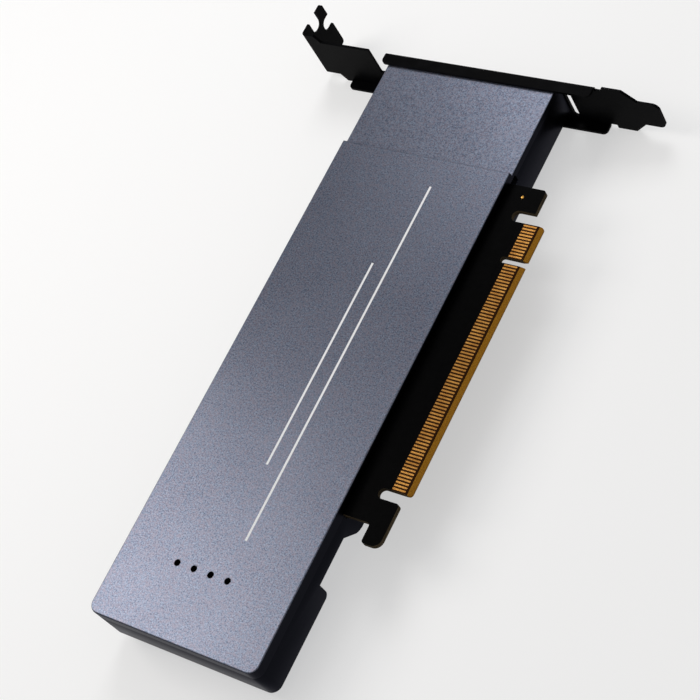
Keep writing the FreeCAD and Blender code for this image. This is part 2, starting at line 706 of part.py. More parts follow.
def build_socket(label, column, row):
    """M.2 socket: upper and lower jaws with the module's mouth and key rib between them."""
    body = new_body(label)
    direction = row.direction
    back = row.socket_back
    mouth_low = board_bottom - s.module_height
    mouth_high = mouth_low - s.module_slot
    end_wall = back + s.module_seat * direction
    section = [
        (back, board_bottom),
        (back + s.socket_depth * direction, board_bottom),
        (back + s.socket_depth * direction, mouth_low),
        (end_wall, mouth_low),
        (end_wall, mouth_high),
        (back + s.socket_jaw * direction, mouth_high),
        (back + s.socket_jaw * direction, board_bottom - s.socket_height),
        (back, board_bottom - s.socket_height),
    ]
    pad_on(body, "YZ_Plane", "jaws", column - s.socket_width / 2, section, s.socket_width)
    rib = [
        (back + s.module_seat / 2 * direction, mouth_low + s.module_slot / 2),
        (back + s.socket_jaw * direction, mouth_low + s.module_slot / 2),
        (back + s.socket_jaw * direction, mouth_high - s.module_slot / 2),
        (back + s.module_seat / 2 * direction, mouth_high - s.module_slot / 2),
    ]
    side = column + s.socket_key_offset * direction - s.socket_key_width / 2
    pad_on(body, "YZ_Plane", "key_rib", side, rib, s.socket_key_width)
    return body


def build_standoffs():
    """Threaded posts that carry the free ends of the modules."""
    body = new_body("m2_standoffs")
    places = [(column, row.standoff) for row in rows for column in columns]
    level = board_bottom - s.module_height
    posts = circles_on(body, "posts", level, places, s.standoff_diameter)
    grow(body, "posts", posts, s.module_height)
    bores = circles_on(body, "bores", level - CLEAR, places, s.standoff_bore)
    dig(body, "bores", bores, s.module_height + 2 * CLEAR, True)
    return body


def build_m2_screws():
    """Flat-headed screws, run down onto the empty standoffs."""
    body = new_body("m2_screws")
    places = [(column, row.standoff) for row in rows for column in columns]
    seat = board_bottom - s.module_height
    heads = circles_on(body, "heads", seat - s.m2_head_height, places, s.m2_head_diameter)
    grow(body, "heads", heads, s.m2_head_height)
    width = s.standoff_bore - s.thread_gap * 2
    shanks = circles_on(body, "shanks", seat - s.m2_head_height / 2, places, width)
    grow(body, "shanks", shanks, s.m2_screw_length + s.m2_head_height / 2)
    return body


def build_box(label, middle_x, middle_y, low, length, width, height, chamfer):
    """A moulded package with bevelled top edges, such as a chip, coil or pad."""
    body = new_body(label)
    half_x, half_y = length / 2, width / 2
    outline = rectangle(middle_x - half_x, middle_x + half_x, middle_y - half_y, middle_y + half_y)
    pad_on(body, "XY_Plane", "package", low, outline, height)
    if chamfer:
        rim = [(None, None, low)]
        edges = body_edges(body, ALONG_X, rim) + body_edges(body, ALONG_Y, rim)
        soften(body, "rim", edges, chamfer, "Chamfer")
    return body


# ---------------------------------------------------------------- bracket

def build_bracket():
    """Full-height slot bracket, folded from one sheet: plate, screw tab, two lips and tail."""
    body = new_body("bracket")
    raised = s.plate_top + s.tab_raise
    raised_bottom = raised - s.bracket_width
    root = s.tab_face + s.tab_root
    slope_end = root + s.tab_slope
    lip_end = -s.lip_end_inset
    upper_start = lip_end - s.upper_lip_length
    lower_start = lip_end - s.lower_lip_length
    relief_end = lip_end + s.relief_width
    tail_end = s.tail_reach
    tail_root = tail_end - s.tail_length
    shoulder = tail_root - s.tail_slope
    tail_top = plate_middle + s.tail_width / 2
    tail_bottom = plate_middle - s.tail_width / 2
    gap_floor = s.plate_top - s.corner_gap_depth
    gap_start = upper_start - s.corner_gap
    outline = [
        (s.tab_face, raised),
        (root, raised),
        (slope_end, s.plate_top),
        (gap_start, s.plate_top),
        (gap_start, gap_floor),
        (upper_start, gap_floor),
        (upper_start, s.plate_top),
        (lip_end, s.plate_top),
        (lip_end, s.plate_top - s.relief_depth),
        (relief_end, s.plate_top - s.relief_depth),
        (relief_end, s.plate_top),
        (shoulder, s.plate_top),
        (tail_root, tail_top),
        (tail_end, tail_top),
        (tail_end, tail_bottom),
        (tail_root, tail_bottom),
        (shoulder, s.plate_bottom),
        (relief_end, s.plate_bottom),
        (relief_end, s.plate_bottom + s.relief_depth),
        (lip_end, s.plate_bottom + s.relief_depth),
        (lip_end, s.plate_bottom),
        (slope_end + s.tab_slope, s.plate_bottom),
        (slope_end, raised_bottom),
        (s.tab_face, raised_bottom),
    ]
    pad_on(body, "XZ_Plane", "plate", s.shell_near, outline, s.steel, True)
    tab_end = s.shell_near + s.steel + s.tab_depth
    tab = rectangle(s.shell_near, tab_end, raised_bottom, raised)
    pad_on(body, "YZ_Plane", "screw_tab", s.tab_face, tab, s.steel)
    lip_front = s.shell_near - s.lip_depth
    upper_lip = rectangle(upper_start, lip_end, lip_front, s.shell_near + s.steel / 2)
    pad_on(body, "XY_Plane", "upper_lip", s.seat_top, upper_lip, s.steel)
    lower_lip = rectangle(lower_start, lip_end, lip_front, s.shell_near + s.steel / 2)
    pad_on(body, "XY_Plane", "lower_lip", s.plate_bottom, lower_lip, s.steel)
    cut_tab_notches(body, raised, tab_end)
    cut_vents(body)
    slope_foot = slope_end + s.tab_slope
    places = (raised, raised_bottom, tab_end, lip_front, upper_start, lower_start, lip_end, slope_foot)
    round_bracket(body, places)
    return body


def cut_tab_notches(body, raised, tab_end):
    """One notch from the tab's outer edge and one from its raised edge, with round ends."""
    half = s.screw_notch / 2
    start = s.tab_face - CLEAR
    through = s.steel + 2 * CLEAR
    middle = raised - s.screw_notch_inset
    floor = tab_end - s.screw_notch_depth
    notch = rectangle(floor, tab_end + CLEAR, middle - half, middle + half)
    cut_on(body, "YZ_Plane", "screw_notch", start, notch, through, True)
    ends = [(None, floor, middle - half), (None, floor, middle + half)]
    soften(body, "screw_notch_round", body_edges(body, ALONG_X, ends), s.screw_notch * 0.49)
    middle = s.shell_near + s.steel + s.side_notch_inset
    floor = raised - s.side_notch_depth
    notch = rectangle(middle - half, middle + half, floor, raised + CLEAR)
    cut_on(body, "YZ_Plane", "side_notch", start, notch, through, True)
    ends = [(None, middle - half, floor), (None, middle + half, floor)]
    soften(body, "side_notch_round", body_edges(body, ALONG_X, ends), s.screw_notch * 0.49)


def cut_vents(body):
    """Vent slots: one past the shells, then a row between the two bracket screws."""
    face = s.shell_near - CLEAR
    through = s.steel + 2 * CLEAR
    sketch = new_sketch(body, "XZ_Plane", "end_vent_sketch", face)
    draw_slot(sketch, -s.vent_inset, plate_middle, s.vent_width, s.vent_length)
    dig(body, "end_vent", sketch, through)
    sketch = new_sketch(body, "XZ_Plane", "vent_sketch", face)
    draw_slot(sketch, first_vent, plate_middle, s.vent_width, s.vent_length)
    vent = dig(body, "vent", sketch, through)
    repeat(body, "vent_row", vent, "X_Axis", s.vent_pitch * (s.vent_count - 1), s.vent_count, True)
    sketch = new_sketch(body, "XZ_Plane", "screw_holes_sketch", face)
    for across in bracket_screw_places:
        draw_circle(sketch, across, bracket_screw_level, s.bracket_screw_hole)
    dig(body, "screw_holes", sketch, through)


def round_bracket(body, places):
    """Rounded corners of the sheet and rounded outer faces of its folds."""
    raised, raised_bottom, tab_end, lip_front, upper_start, lower_start, lip_end, slope_foot = places
    corners = [(None, tab_end, raised), (None, tab_end, raised_bottom)]
    soften(body, "tab_corners", body_edges(body, ALONG_X, corners), s.tab_corner)
    tail = [
        (s.tail_reach, None, plate_middle + s.tail_width / 2),
        (s.tail_reach, None, plate_middle - s.tail_width / 2),
    ]
    soften(body, "tail_corners", body_edges(body, ALONG_Y, tail), s.tail_corner)
    lips = [(across, lip_front, None) for across in (upper_start, lower_start, lip_end)]
    soften(body, "lip_corners", body_edges(body, ALONG_Z, lips), s.lip_corner)
    outer = s.shell_near + s.steel
    folds = [
        ((upper_start + lip_end) / 2, outer, s.plate_top),
        ((slope_foot + lip_end) / 2, outer, s.plate_bottom),
    ]
    soften(body, "lip_folds", body_edges(body, ALONG_X, folds), s.fold_round)
    fold = [(s.tab_face, s.shell_near, None)]
    soften(body, "tab_fold", body_edges(body, ALONG_Z, fold), s.fold_round)


# ---------------------------------------------------------------- screws

def build_shell_screws():
    """Countersunk screws, from the front shell's floor into the back shell."""
    body = new_body("shell_screws")
    width = s.shell_screw - s.thread_gap * 2
    shanks = circles_on(body, "shanks", s.shell_bottom, shell_screw_places, width)
    grow(body, "shanks", shanks, s.shell_screw_grip - s.shell_bottom - s.thread_gap)
    for index, (across, along) in enumerate(shell_screw_places, start=1):
        sketch = circles_on(body, f"head_{index}", s.shell_bottom, [(across, along)], s.shell_screw_head)
        height = (s.shell_screw_head - s.shell_screw_hole) / 2
        head = grow(body, f"head_{index}", sketch, height)
        head.TaperAngle = -45.0
        settle(body, head)
    return body


def build_bracket_screws():
    """Pan-headed screws, through the bracket's plate into the front shell's blocks."""
    body = new_body("bracket_screws")
    outer = s.shell_near + s.steel
    heads = new_sketch(body, "XZ_Plane", "heads_sketch", outer)
    shanks = new_sketch(body, "XZ_Plane", "shanks_sketch", outer + s.bracket_head_height / 2)
    width = s.bracket_screw - s.thread_gap * 2
    for across in bracket_screw_places:
        draw_circle(heads, across, bracket_screw_level, s.bracket_screw_head)
        draw_circle(shanks, across, bracket_screw_level, width)
    grow(body, "heads", heads, s.bracket_head_height, True)
    length = s.bracket_head_height / 2 + s.steel + s.bracket_screw_grip
    grow(body, "shanks", shanks, length)
    face = (outer + s.bracket_head_height).value
    rims = closed_edges(body.Tip.Shape, "Y", face, s.bracket_screw_head.value)
    soften(body, "head_rim", rims, s.bracket_head_height / 3, "Chamfer")
    return body


# ---------------------------------------------------------------- the whole card

def build_bays():
    """Sockets and thermal pads of the four bays, numbered from the connector's column."""
    built = []
    number = 0
    for row in rows:
        for column in columns:
            number += 1
            built.append(build_socket(f"m2_socket_{number}", column, row))
            middle = row.socket_front + (s.pad_start + s.pad_length / 2) * row.direction
            size = (s.pad_width, s.pad_length, s.pad_thickness)
            built.append(build_box(f"thermal_pad_{number}", column, middle, s.floor_top, *size, None))
    return built


def build_power_parts():
    """Inductors with their regulators along the connector side, and bulk capacitors."""
    built = []
    coil_size = (s.coil_size, s.coil_size, s.coil_height)
    chip_size = (s.chip_size, s.chip_size, s.chip_height)
    tank_size = (s.capacitor_width, s.capacitor_length, s.capacitor_height)
    for number, (side, step) in enumerate([(1, 0), (1, 1), (-1, 0), (-1, 1)], start=1):
        along = s.row_middle + (s.stage_offset + s.stage_pitch * step) * side
        low = board_bottom - s.coil_height
        coil = build_box(f"power_inductor_{number}", coil_line, along, low, *coil_size, s.package_bevel)
        built.append(coil)
        beside = along + s.chip_offset * side
        low = board_bottom - s.chip_height
        built.append(build_box(f"regulator_{number}", coil_line, beside, low, *chip_size, None))
        along = s.row_middle + s.capacitor_offset * (step + 1) * side
        low = board_bottom - s.capacitor_height
        tank = build_box(f"bulk_capacitor_{number}", tank_line, along, low, *tank_size, s.package_bevel)
        built.append(tank)
    return built


def build_lamps():
    """Status lamps on the solder face, each with a resistor beside it."""
    built = []
    lamp_size = (s.lamp_length, s.lamp_width, s.lamp_height)
    resistor_size = (s.resistor_length, s.resistor_width, s.resistor_height)
    for number, (across, along) in enumerate(lamp_places, start=1):
        built.append(build_box(f"status_led_{number}", across, along, 0, *lamp_size, None))
        beside = along + s.resistor_offset
        built.append(build_box(f"led_resistor_{number}", across, beside, 0, *resistor_size, None))
    return built


def build_clock_buffer():
    along = s.row_middle + s.clock_offset
    low = board_bottom - s.chip_height
    size = (s.clock_size, s.clock_size, s.chip_height)
    return build_box("clock_buffer", columns[0], along, low, *size, None)


def place(body):
    """Move a piece from the card's datum to the model's frame."""
    base = Vector(s.origin_x.value, s.origin_y.value, s.origin_z.value)
    body.Placement = Placement(base, Rotation())
    for axis in "xyz":
        body.setExpression(f"Placement.Base.{axis}", f"Sizes.origin_{axis}")


def check_and_write(bodies):
    document.recompute()
    for item in document.Objects:
        if "Invalid" in item.State or "Error" in item.State:
            raise RuntimeError(f"{item.Label} is not built: {item.State}")
    os.makedirs("parts", exist_ok=True)
    for body in bodies:
        shape = body.Shape
        if shape.isNull() or not shape.isValid():
            raise RuntimeError(f"{body.Label} has no sound shape")
        shape.exportStep(f"parts/{body.Label}.step")
        print(f"{body.Label}: {len(shape.Solids)} solid(s), {shape.Volume:.1f} mm3")


bodies = [
    build_back_shell(),
    build_front_shell(),
    build_main_board(),
    build_edge_contacts(),
    build_bracket(),
    build_bracket_screws(),
    build_shell_screws(),
    build_standoffs(),
    build_m2_screws(),
    build_clock_buffer(),
]
bodies += build_bays() + build_power_parts() + build_lamps()
for piece in bodies:
    place(piece)
check_and_write(bodies)
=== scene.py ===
import math

import bpy
from mathutils import Matrix, Vector


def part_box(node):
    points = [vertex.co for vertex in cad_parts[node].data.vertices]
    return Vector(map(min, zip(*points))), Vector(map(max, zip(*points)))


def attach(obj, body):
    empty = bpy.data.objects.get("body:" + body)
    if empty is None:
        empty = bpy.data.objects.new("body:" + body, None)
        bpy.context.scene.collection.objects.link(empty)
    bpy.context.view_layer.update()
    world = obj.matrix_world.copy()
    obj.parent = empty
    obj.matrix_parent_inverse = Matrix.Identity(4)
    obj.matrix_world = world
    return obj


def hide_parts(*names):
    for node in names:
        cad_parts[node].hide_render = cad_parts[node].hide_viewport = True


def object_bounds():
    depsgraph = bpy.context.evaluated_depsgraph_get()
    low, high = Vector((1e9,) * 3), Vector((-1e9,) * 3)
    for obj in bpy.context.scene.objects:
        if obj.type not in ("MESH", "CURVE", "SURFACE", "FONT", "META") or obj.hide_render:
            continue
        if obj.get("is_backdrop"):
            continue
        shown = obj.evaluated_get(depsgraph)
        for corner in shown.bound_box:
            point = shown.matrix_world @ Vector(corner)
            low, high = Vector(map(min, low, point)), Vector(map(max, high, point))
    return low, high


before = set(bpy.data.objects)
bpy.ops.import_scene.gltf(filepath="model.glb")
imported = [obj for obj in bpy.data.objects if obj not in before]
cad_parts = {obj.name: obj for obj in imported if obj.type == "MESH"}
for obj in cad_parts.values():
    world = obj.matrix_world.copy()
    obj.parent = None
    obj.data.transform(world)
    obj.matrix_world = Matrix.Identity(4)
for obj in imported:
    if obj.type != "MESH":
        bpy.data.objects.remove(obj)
cad_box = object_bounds()

MM = 0.001
CONTACT_PITCH = 1.0 * MM
CONTACT_WIDTH = 0.7 * MM
LAND_REACH = 6.25 * MM      # from the connector's nose to the far end of its contacts
BEVEL_REACH = 1.35 * MM     # from the nose to the start of the contacts
LAND_MARGIN = 0.3 * MM      # bare land beyond the outer contacts
RELIEF_RADIUS = 1.8 * MM    # at the lower corners of the tray's latch relief
RULE_HALF_WIDTH = 0.35 * MM
RULES_MM = [(2.6, -46.1, 19.2), (8.05, -67.8, 46.5)]      # centre in X, start and end in Y


# ---------------------------------------------------------------- shader tools

class Wire:
    """One socket's value, so that sums between values read as plain expressions."""

    def __init__(self, finish, socket):
        self.finish = finish
        self.socket = socket

    def sum(self, operation, *values):
        return self.finish.node("ShaderNodeMath", {"operation": operation}, dict(enumerate(values)))

    def __add__(self, other):
        return self.sum("ADD", self, other)

    def __radd__(self, other):
        return self.sum("ADD", other, self)

    def __sub__(self, other):
        return self.sum("SUBTRACT", self, other)

    def __rsub__(self, other):
        return self.sum("SUBTRACT", other, self)

    def __mul__(self, other):
        return self.sum("MULTIPLY", self, other)

    def __rmul__(self, other):
        return self.sum("MULTIPLY", other, self)

    def __abs__(self):
        return self.sum("ABSOLUTE", self)

    def __mod__(self, step):
        return self.sum("FLOORED_MODULO", self, step)

    def __gt__(self, other):
        return self.sum("GREATER_THAN", self, other)

    def __lt__(self, other):
        return self.sum("LESS_THAN", self, other)


class Finish:
    """A material built from nodes around one Principled BSDF."""

    def __init__(self, name):
        self.material = bpy.data.materials.new(name)
        self.material.use_nodes = True
        self.tree = self.material.node_tree
        self.shader = self.tree.nodes["Principled BSDF"]

    def node(self, kind, settings=None, values=None, output=0):
        made = self.tree.nodes.new(kind)
        for name, setting in (settings or {}).items():
            setattr(made, name, setting)
        for key, value in (values or {}).items():
            self.feed(made.inputs[key], value)
        return Wire(self, made.outputs[output])

    def feed(self, socket, value):
        if isinstance(value, Wire):
            self.tree.links.new(value.socket, socket)
        else:
            socket.default_value = value

    def split(self, vector):
        made = self.tree.nodes.new("ShaderNodeSeparateXYZ")
        self.feed(made.inputs[0], vector)
        return [Wire(self, made.outputs[axis]) for axis in range(3)]

    def place(self):
        """Where a point lies on the piece, as X, Y and Z in metres."""
        return self.split(self.node("ShaderNodeTexCoord", output="Object"))

    def facing(self):
        """The surface's direction, as X, Y and Z."""
        return self.split(self.node("ShaderNodeNewGeometry", output="True Normal"))

    def grain(self, per_mm, detail=2.0, stretch=(1, 1, 1)):
        """Noise with a given number of features to the millimetre."""
        spot = self.node("ShaderNodeTexCoord", output="Object")
        spot = self.node("ShaderNodeMapping", {}, {"Vector": spot, "Scale": stretch})
        values = {"Vector": spot, "Scale": per_mm / MM, "Detail": detail, "Roughness": 0.5}
        return self.node("ShaderNodeTexNoise", {}, values)

    def ramp(self, factor, low, high):
        values = {"Value": factor, "From Min": low, "From Max": high}
        return self.node("ShaderNodeMapRange", {"clamp": True}, values)

    def mix(self, factor, first, second):
        """One colour turning into another; 0, 6 and 7 are the mix node's sockets for them."""
        values = {0: factor, 6: first, 7: second}
        return self.node("ShaderNodeMix", {"data_type": "RGBA"}, values, output=2)

    def bump(self, height, depth_mm, strength=1.0):
        values = {"Height": height, "Distance": depth_mm * MM, "Strength": strength}
        return self.node("ShaderNodeBump", {}, values)

    def set(self, **values):
        for name, value in values.items():
            self.feed(self.shader.inputs[name.replace("_", " ")], value)
        return self.material


def colour(red, green, blue):
    return (red, green, blue, 1.0)


# ---------------------------------------------------------------- finishes

def anodised_shell(name, printed):
    """Fine blasted aluminium under a slate-grey anodised coat, with any printed rules in pale ink, and
    painted shade that makes its upright side walls and ends nearly black.
    """
    f = Finish(name)
    x, y = f.place()[:2]
    fine = f.grain(5.5, 2.0)
    speck = f.grain(2.3, 2.0)
    tint = f.grain(1.9, 1.0)
    cloud = f.grain(0.03, 2.0)
    tone = f.ramp(fine * 0.45 + speck * 0.5 + cloud * 0.1, 0.43, 0.63)
    base = f.mix(tone, colour(0.054, 0.067, 0.100), colour(0.176, 0.202, 0.262))
    base = f.mix(f.ramp(tint, 0.42, 0.62) * 0.5, base, colour(0.160, 0.134, 0.158))
    # Painted shade: every face that stands upright, side walls and ends alike, gets a near-black colour in
    # place of the coat's own grey.
    painted_side_shade = abs(f.facing()[2]) < 0.5
    base = f.mix(painted_side_shade, base, colour(0.0060, 0.0065, 0.0090))
    rough = 0.31 + fine * 0.10
    metal = 1.0
    if printed:
        top = f.facing()[2] > 0.9
        ink = top * 0.0
        for centre, start, end in printed:
            line = (abs(x - centre * MM) < RULE_HALF_WIDTH) * (y > start * MM) * (y < end * MM)
            ink = ink + line
        ink = ink * top
        base = f.mix(ink, base, colour(0.78, 0.79, 0.80))
        rough = rough + ink * 0.15
        metal = 1.0 - ink
    height = fine * 0.6 + speck * 0.4
    f.set(Specular_Tint=colour(0.60, 0.60, 0.63))
    return f.set(Base_Color=base, Roughness=rough, Metallic=metal, Normal=f.bump(height, 0.020, 0.8))


def black_coating():
    """Satin black powder coat on folded steel, a little paler in random patches."""
    f = Finish("satin_black_coating")
    peel = f.grain(2.2, 2.0)
    dust = f.grain(0.25, 4.0)
    base = f.mix(f.ramp(dust, 0.45, 0.8), colour(0.0014, 0.0014, 0.0017), colour(0.0036, 0.0036, 0.0042))
    rough = 0.34 + peel * 0.12 + dust * 0.08
    return f.set(Base_Color=base, Roughness=rough, Normal=f.bump(peel, 0.01, 0.5), Specular_IOR_Level=0.018)


def solder_mask(box, contact_box):
    """Black solder mask with bare laminate on the cut edges and along the connector's bevel."""
    f = Finish("black_solder_mask")
    x, y = f.place()[:2]
    up = abs(f.facing()[2])
    edge = up < 0.6
    nose = x > box[1].x - BEVEL_REACH
    slope = (up < 0.985) * nose
    weave = f.grain(3.5, 2.0, (1, 1, 4))
    ply = f.grain(1.0, 1.0, (0.2, 0.2, 9.0))
    cut = f.mix(f.ramp(ply, 0.4, 0.62), colour(0.022, 0.017, 0.011), colour(0.095, 0.070, 0.040))
    bare = f.mix(f.ramp(weave, 0.35, 0.7), colour(0.19, 0.082, 0.008), colour(0.34, 0.160, 0.016))
    lacquer = f.ramp(f.grain(0.6, 3.0), 0.3, 0.8)
    mask = f.mix(lacquer, colour(0.0010, 0.0010, 0.0011), colour(0.0018, 0.0018, 0.002))
    lands = (x > box[1].x - LAND_REACH) * (x < box[1].x - BEVEL_REACH)
    lands = lands * (y > contact_box[0].y - LAND_MARGIN) * (y < contact_box[1].y + LAND_MARGIN)
    mask = f.mix(lands, mask, colour(0.024, 0.0085, 0.0025))
    base = f.mix(edge, mask, cut)
    base = f.mix(slope, base, bare)
    matt = (edge + slope) > 0.5
    rough = 0.30 + matt * 0.35 + weave * 0.06
    normal = f.bump(weave, 0.008, 0.35)
    return f.set(Base_Color=base, Roughness=rough, Normal=normal, Specular_IOR_Level=0.015)


def contact_gold(first_edge):
    """Plated contacts with faint lengthwise polish marks, each with painted shade falling off dark to its
    long edges.
    """
    f = Finish("contact_gold")
    y = f.place()[1]
    off_middle = abs((y - first_edge) % CONTACT_PITCH - CONTACT_WIDTH / 2)
    # Painted shade: each flat contact is coloured near-black towards its long edges, as if they were
    # rounded away from the light.
    painted_edge_shade = f.ramp(off_middle, 0.17 * MM, 0.28 * MM)
    polish = f.grain(6.0, 2.0, (0.15, 1, 1))
    patch = f.grain(0.35, 3.0)
    plating = f.ramp(patch, 0.35, 0.7)
    base = f.mix(plating, colour(0.42, 0.19, 0.042), colour(0.62, 0.31, 0.075))
    base = f.mix(painted_edge_shade * 0.95, base, colour(0.060, 0.022, 0.008))
    rough = 0.22 + polish * 0.16
    return f.set(Base_Color=base, Metallic=1.0, Roughness=rough, Normal=f.bump(polish, 0.004, 0.4))


def metal(name, dark, light, rough):
    """Turned, plated or blackened metal with faint handling marks."""
    f = Finish(name)
    marks = f.grain(3.0, 3.0)
    base = f.mix(f.ramp(marks, 0.3, 0.75), dark, light)
    rough = rough + marks * 0.15
    return f.set(Base_Color=base, Metallic=1.0, Roughness=rough, Normal=f.bump(marks, 0.006, 0.4))


def moulded(name, dark, light, rough, scale=2.0, depth=0.01):
    """Plastic, resin or gum with a fine moulded grain."""
    f = Finish(name)
    grain = f.grain(scale, 3.0)
    cloud = f.grain(0.15, 2.0)
    base = f.mix(f.ramp(grain * 0.6 + cloud * 0.4, 0.35, 0.65), dark, light)
    return f.set(Base_Color=base, Roughness=rough + grain * 0.12, Normal=f.bump(grain, depth, 0.5))


def dress(node, material):
    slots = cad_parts[node].data.materials
    slots.clear()
    slots.append(material)


board_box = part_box("main_board")
contact_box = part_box("edge_contacts")
plain_shell = anodised_shell("anodised_tray", [])
finishes = {
    "back_shell": anodised_shell("anodised_cover", RULES_MM),
    "front_shell": plain_shell,
    "main_board": solder_mask(board_box, contact_box),
    "edge_contacts": contact_gold(contact_box[0].y),
    "bracket": black_coating(),
    "m2_standoffs": metal("turned_brass", colour(0.55, 0.38, 0.16), colour(0.72, 0.53, 0.26), 0.28),
    "m2_screws": metal("black_nickel", colour(0.10, 0.10, 0.11), colour(0.17, 0.17, 0.18), 0.30),
    "clock_buffer": moulded("chip_resin", colour(0.016, 0.016, 0.017), colour(0.030, 0.030, 0.031), 0.5),
}
families = {
    "m2_socket": moulded("socket_nylon", colour(0.014, 0.014, 0.015), colour(0.028, 0.028, 0.030), 0.42),
    "thermal_pad": moulded("thermal_gum", colour(0.30, 0.38, 0.47), colour(0.38, 0.46, 0.56), 0.75,
                           scale=1.2, depth=0.03),
    "power_inductor": moulded("pressed_ferrite", colour(0.055, 0.055, 0.06), colour(0.10, 0.10, 0.105), 0.6,
                              scale=5.0),
    "bulk_capacitor": moulded("capacitor_resin", colour(0.11, 0.075, 0.04), colour(0.16, 0.11, 0.06), 0.45),
    "regulator": finishes["clock_buffer"],
    "status_led": moulded("lamp_epoxy", colour(0.62, 0.64, 0.50), colour(0.78, 0.80, 0.66), 0.2,
                          scale=1.0, depth=0.004),
    "led_resistor": moulded("glazed_resistor", colour(0.02, 0.02, 0.022), colour(0.045, 0.045, 0.05), 0.35),
}
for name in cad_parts:
    if name in finishes:
        dress(name, finishes[name])
    for family, material in families.items():
        if name.startswith(family):
            dress(name, material)


# ---------------------------------------------------------------- modelling tools

def started(name):
    """Names the primitive just added and applies its place, so that its object sits at the origin."""
    piece = bpy.context.object
    piece.name = name
    piece.data.name = name
    bpy.ops.object.transform_apply(location=True, rotation=True, scale=True)
    return piece


def only(piece):
    bpy.ops.object.select_all(action="DESELECT")
    piece.select_set(True)
    bpy.context.view_layer.objects.active = piece


def pick(piece, wanted):
    """Enters edit mode with just the faces selected that a test of centre and normal accepts."""
    only(piece)
    bpy.ops.object.mode_set(mode="EDIT")
    bpy.ops.mesh.select_mode(type="FACE")
    bpy.ops.mesh.select_all(action="DESELECT")
    bpy.ops.object.mode_set(mode="OBJECT")
    for face in piece.data.polygons:
        face.select = wanted(face.center, face.normal)
    bpy.ops.object.mode_set(mode="EDIT")


def apply_modifiers(piece):
    only(piece)
    for modifier in list(piece.modifiers):
        bpy.ops.object.modifier_apply(modifier=modifier.name)


def break_edges(piece, width, degrees):
    """Bevels every edge sharper than an angle, and applies the bevel."""
    bevel = piece.modifiers.new("broken_edges", "BEVEL")
    bevel.width = width
    bevel.segments = 2
    bevel.limit_method = "ANGLE"
    bevel.angle_limit = math.radians(degrees)
    apply_modifiers(piece)


def cross_recess(width, depth):
    """A tapered cross, to be cut from a screw's head that faces +Z at the origin."""
    arms = []
    thickness = width * 0.22
    for across, along in ((width, thickness), (thickness, width)):
        bpy.ops.mesh.primitive_cube_add(size=1, scale=(across, along, depth * 2))
        arm = started("recess_arm")
        pick(arm, lambda middle, normal: normal.z < -0.5)
        bpy.ops.transform.resize(value=(0.55, 0.55, 1), center_override=(0, 0, 0))
        bpy.ops.object.mode_set(mode="OBJECT")
        arms.append(arm)
    union = arms[0].modifiers.new("cross", "BOOLEAN")
    union.operation = "UNION"
    union.object = arms[1]
    apply_modifiers(arms[0])
    bpy.data.objects.remove(arms[1])
    return arms[0]


def screw(name, head_radius, head_height, shank_radius, shank_length, sunk):
    """A cross-recessed screw at the origin with its head's face up at z = 0."""
    plain_shank = shank_length * 0.94
    tapered_tip = shank_length * 0.06
    recess_width = head_radius * 1.35
    recess_depth = head_height * 0.42
    bpy.ops.mesh.primitive_cylinder_add(vertices=40, radius=head_radius, depth=head_height,
                                        location=(0, 0, -head_height / 2))
    piece = started(name)
    if not sunk:
        pick(piece, lambda middle, normal: normal.z > 0.5)
        bpy.ops.mesh.bevel(offset=head_height * 0.32, segments=3, affect="EDGES")
        bpy.ops.object.mode_set(mode="OBJECT")
    pick(piece, lambda middle, normal: normal.z < -0.5 and middle.z < -head_height * 0.9)
    if sunk:
        bpy.ops.transform.resize(value=(shank_radius / head_radius,) * 2 + (1,), center_override=(0, 0, 0))
    else:
        bpy.ops.mesh.inset(thickness=head_radius - shank_radius)
    for step in (plain_shank, tapered_tip):
        bpy.ops.mesh.extrude_region_move(TRANSFORM_OT_translate={"value": (0, 0, -step)})
    bpy.ops.transform.resize(value=(0.7, 0.7, 1), center_override=(0, 0, -head_height - shank_length))
    bpy.ops.object.mode_set(mode="OBJECT")
    cutter = cross_recess(recess_width, recess_depth)
    cut = piece.modifiers.new("recess", "BOOLEAN")
    cut.object = cutter
    cut.solver = "EXACT"
    apply_modifiers(piece)
    bpy.data.objects.remove(cutter)
    break_edges(piece, head_height * 0.03, 40)
    bpy.ops.object.shade_smooth_by_angle(angle=math.radians(35))
    return piece


def set_of(master, name, turn, places):
    """Copies a master piece to each place, joins the copies and removes the master."""
    copies = []
    for spot in places:
        twin = master.copy()
        twin.data = master.data.copy()
        twin.data.transform(Matrix.Translation(spot) @ turn.to_4x4())
        bpy.context.collection.objects.link(twin)
        copies.append(twin)
    bpy.ops.object.select_all(action="DESELECT")
    for twin in copies:
        twin.select_set(True)
    bpy.context.view_layer.objects.active = copies[0]
    bpy.ops.object.join()
    copies[0].name = name
    bpy.data.objects.remove(master)
    return copies[0]


def islands(node):
    """The box of each separate solid of a CAD node, as pairs of corners."""
    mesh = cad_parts[node].data
    spots = {}
    parent = list(range(len(mesh.vertices)))

    def root(index):
        while parent[index] != index:
            parent[index] = parent[parent[index]]
            index = parent[index]
        return index

    for vertex in mesh.vertices:
        key = tuple(round(value, 6) for value in vertex.co)
        parent[root(vertex.index)] = root(spots.setdefault(key, vertex.index))
    for edge in mesh.edges:
        parent[root(edge.vertices[0])] = root(edge.vertices[1])
    groups = {}
    for vertex in mesh.vertices:
        groups.setdefault(root(vertex.index), []).append(vertex.co)
    boxes = []
    for group in groups.values():
        low = Vector([min(point[axis] for point in group) for axis in range(3)])
        high = Vector([max(point[axis] for point in group) for axis in range(3)])
        boxes.append((low, high))
    return boxes


# ---------------------------------------------------------------- tray with rounded relief corners

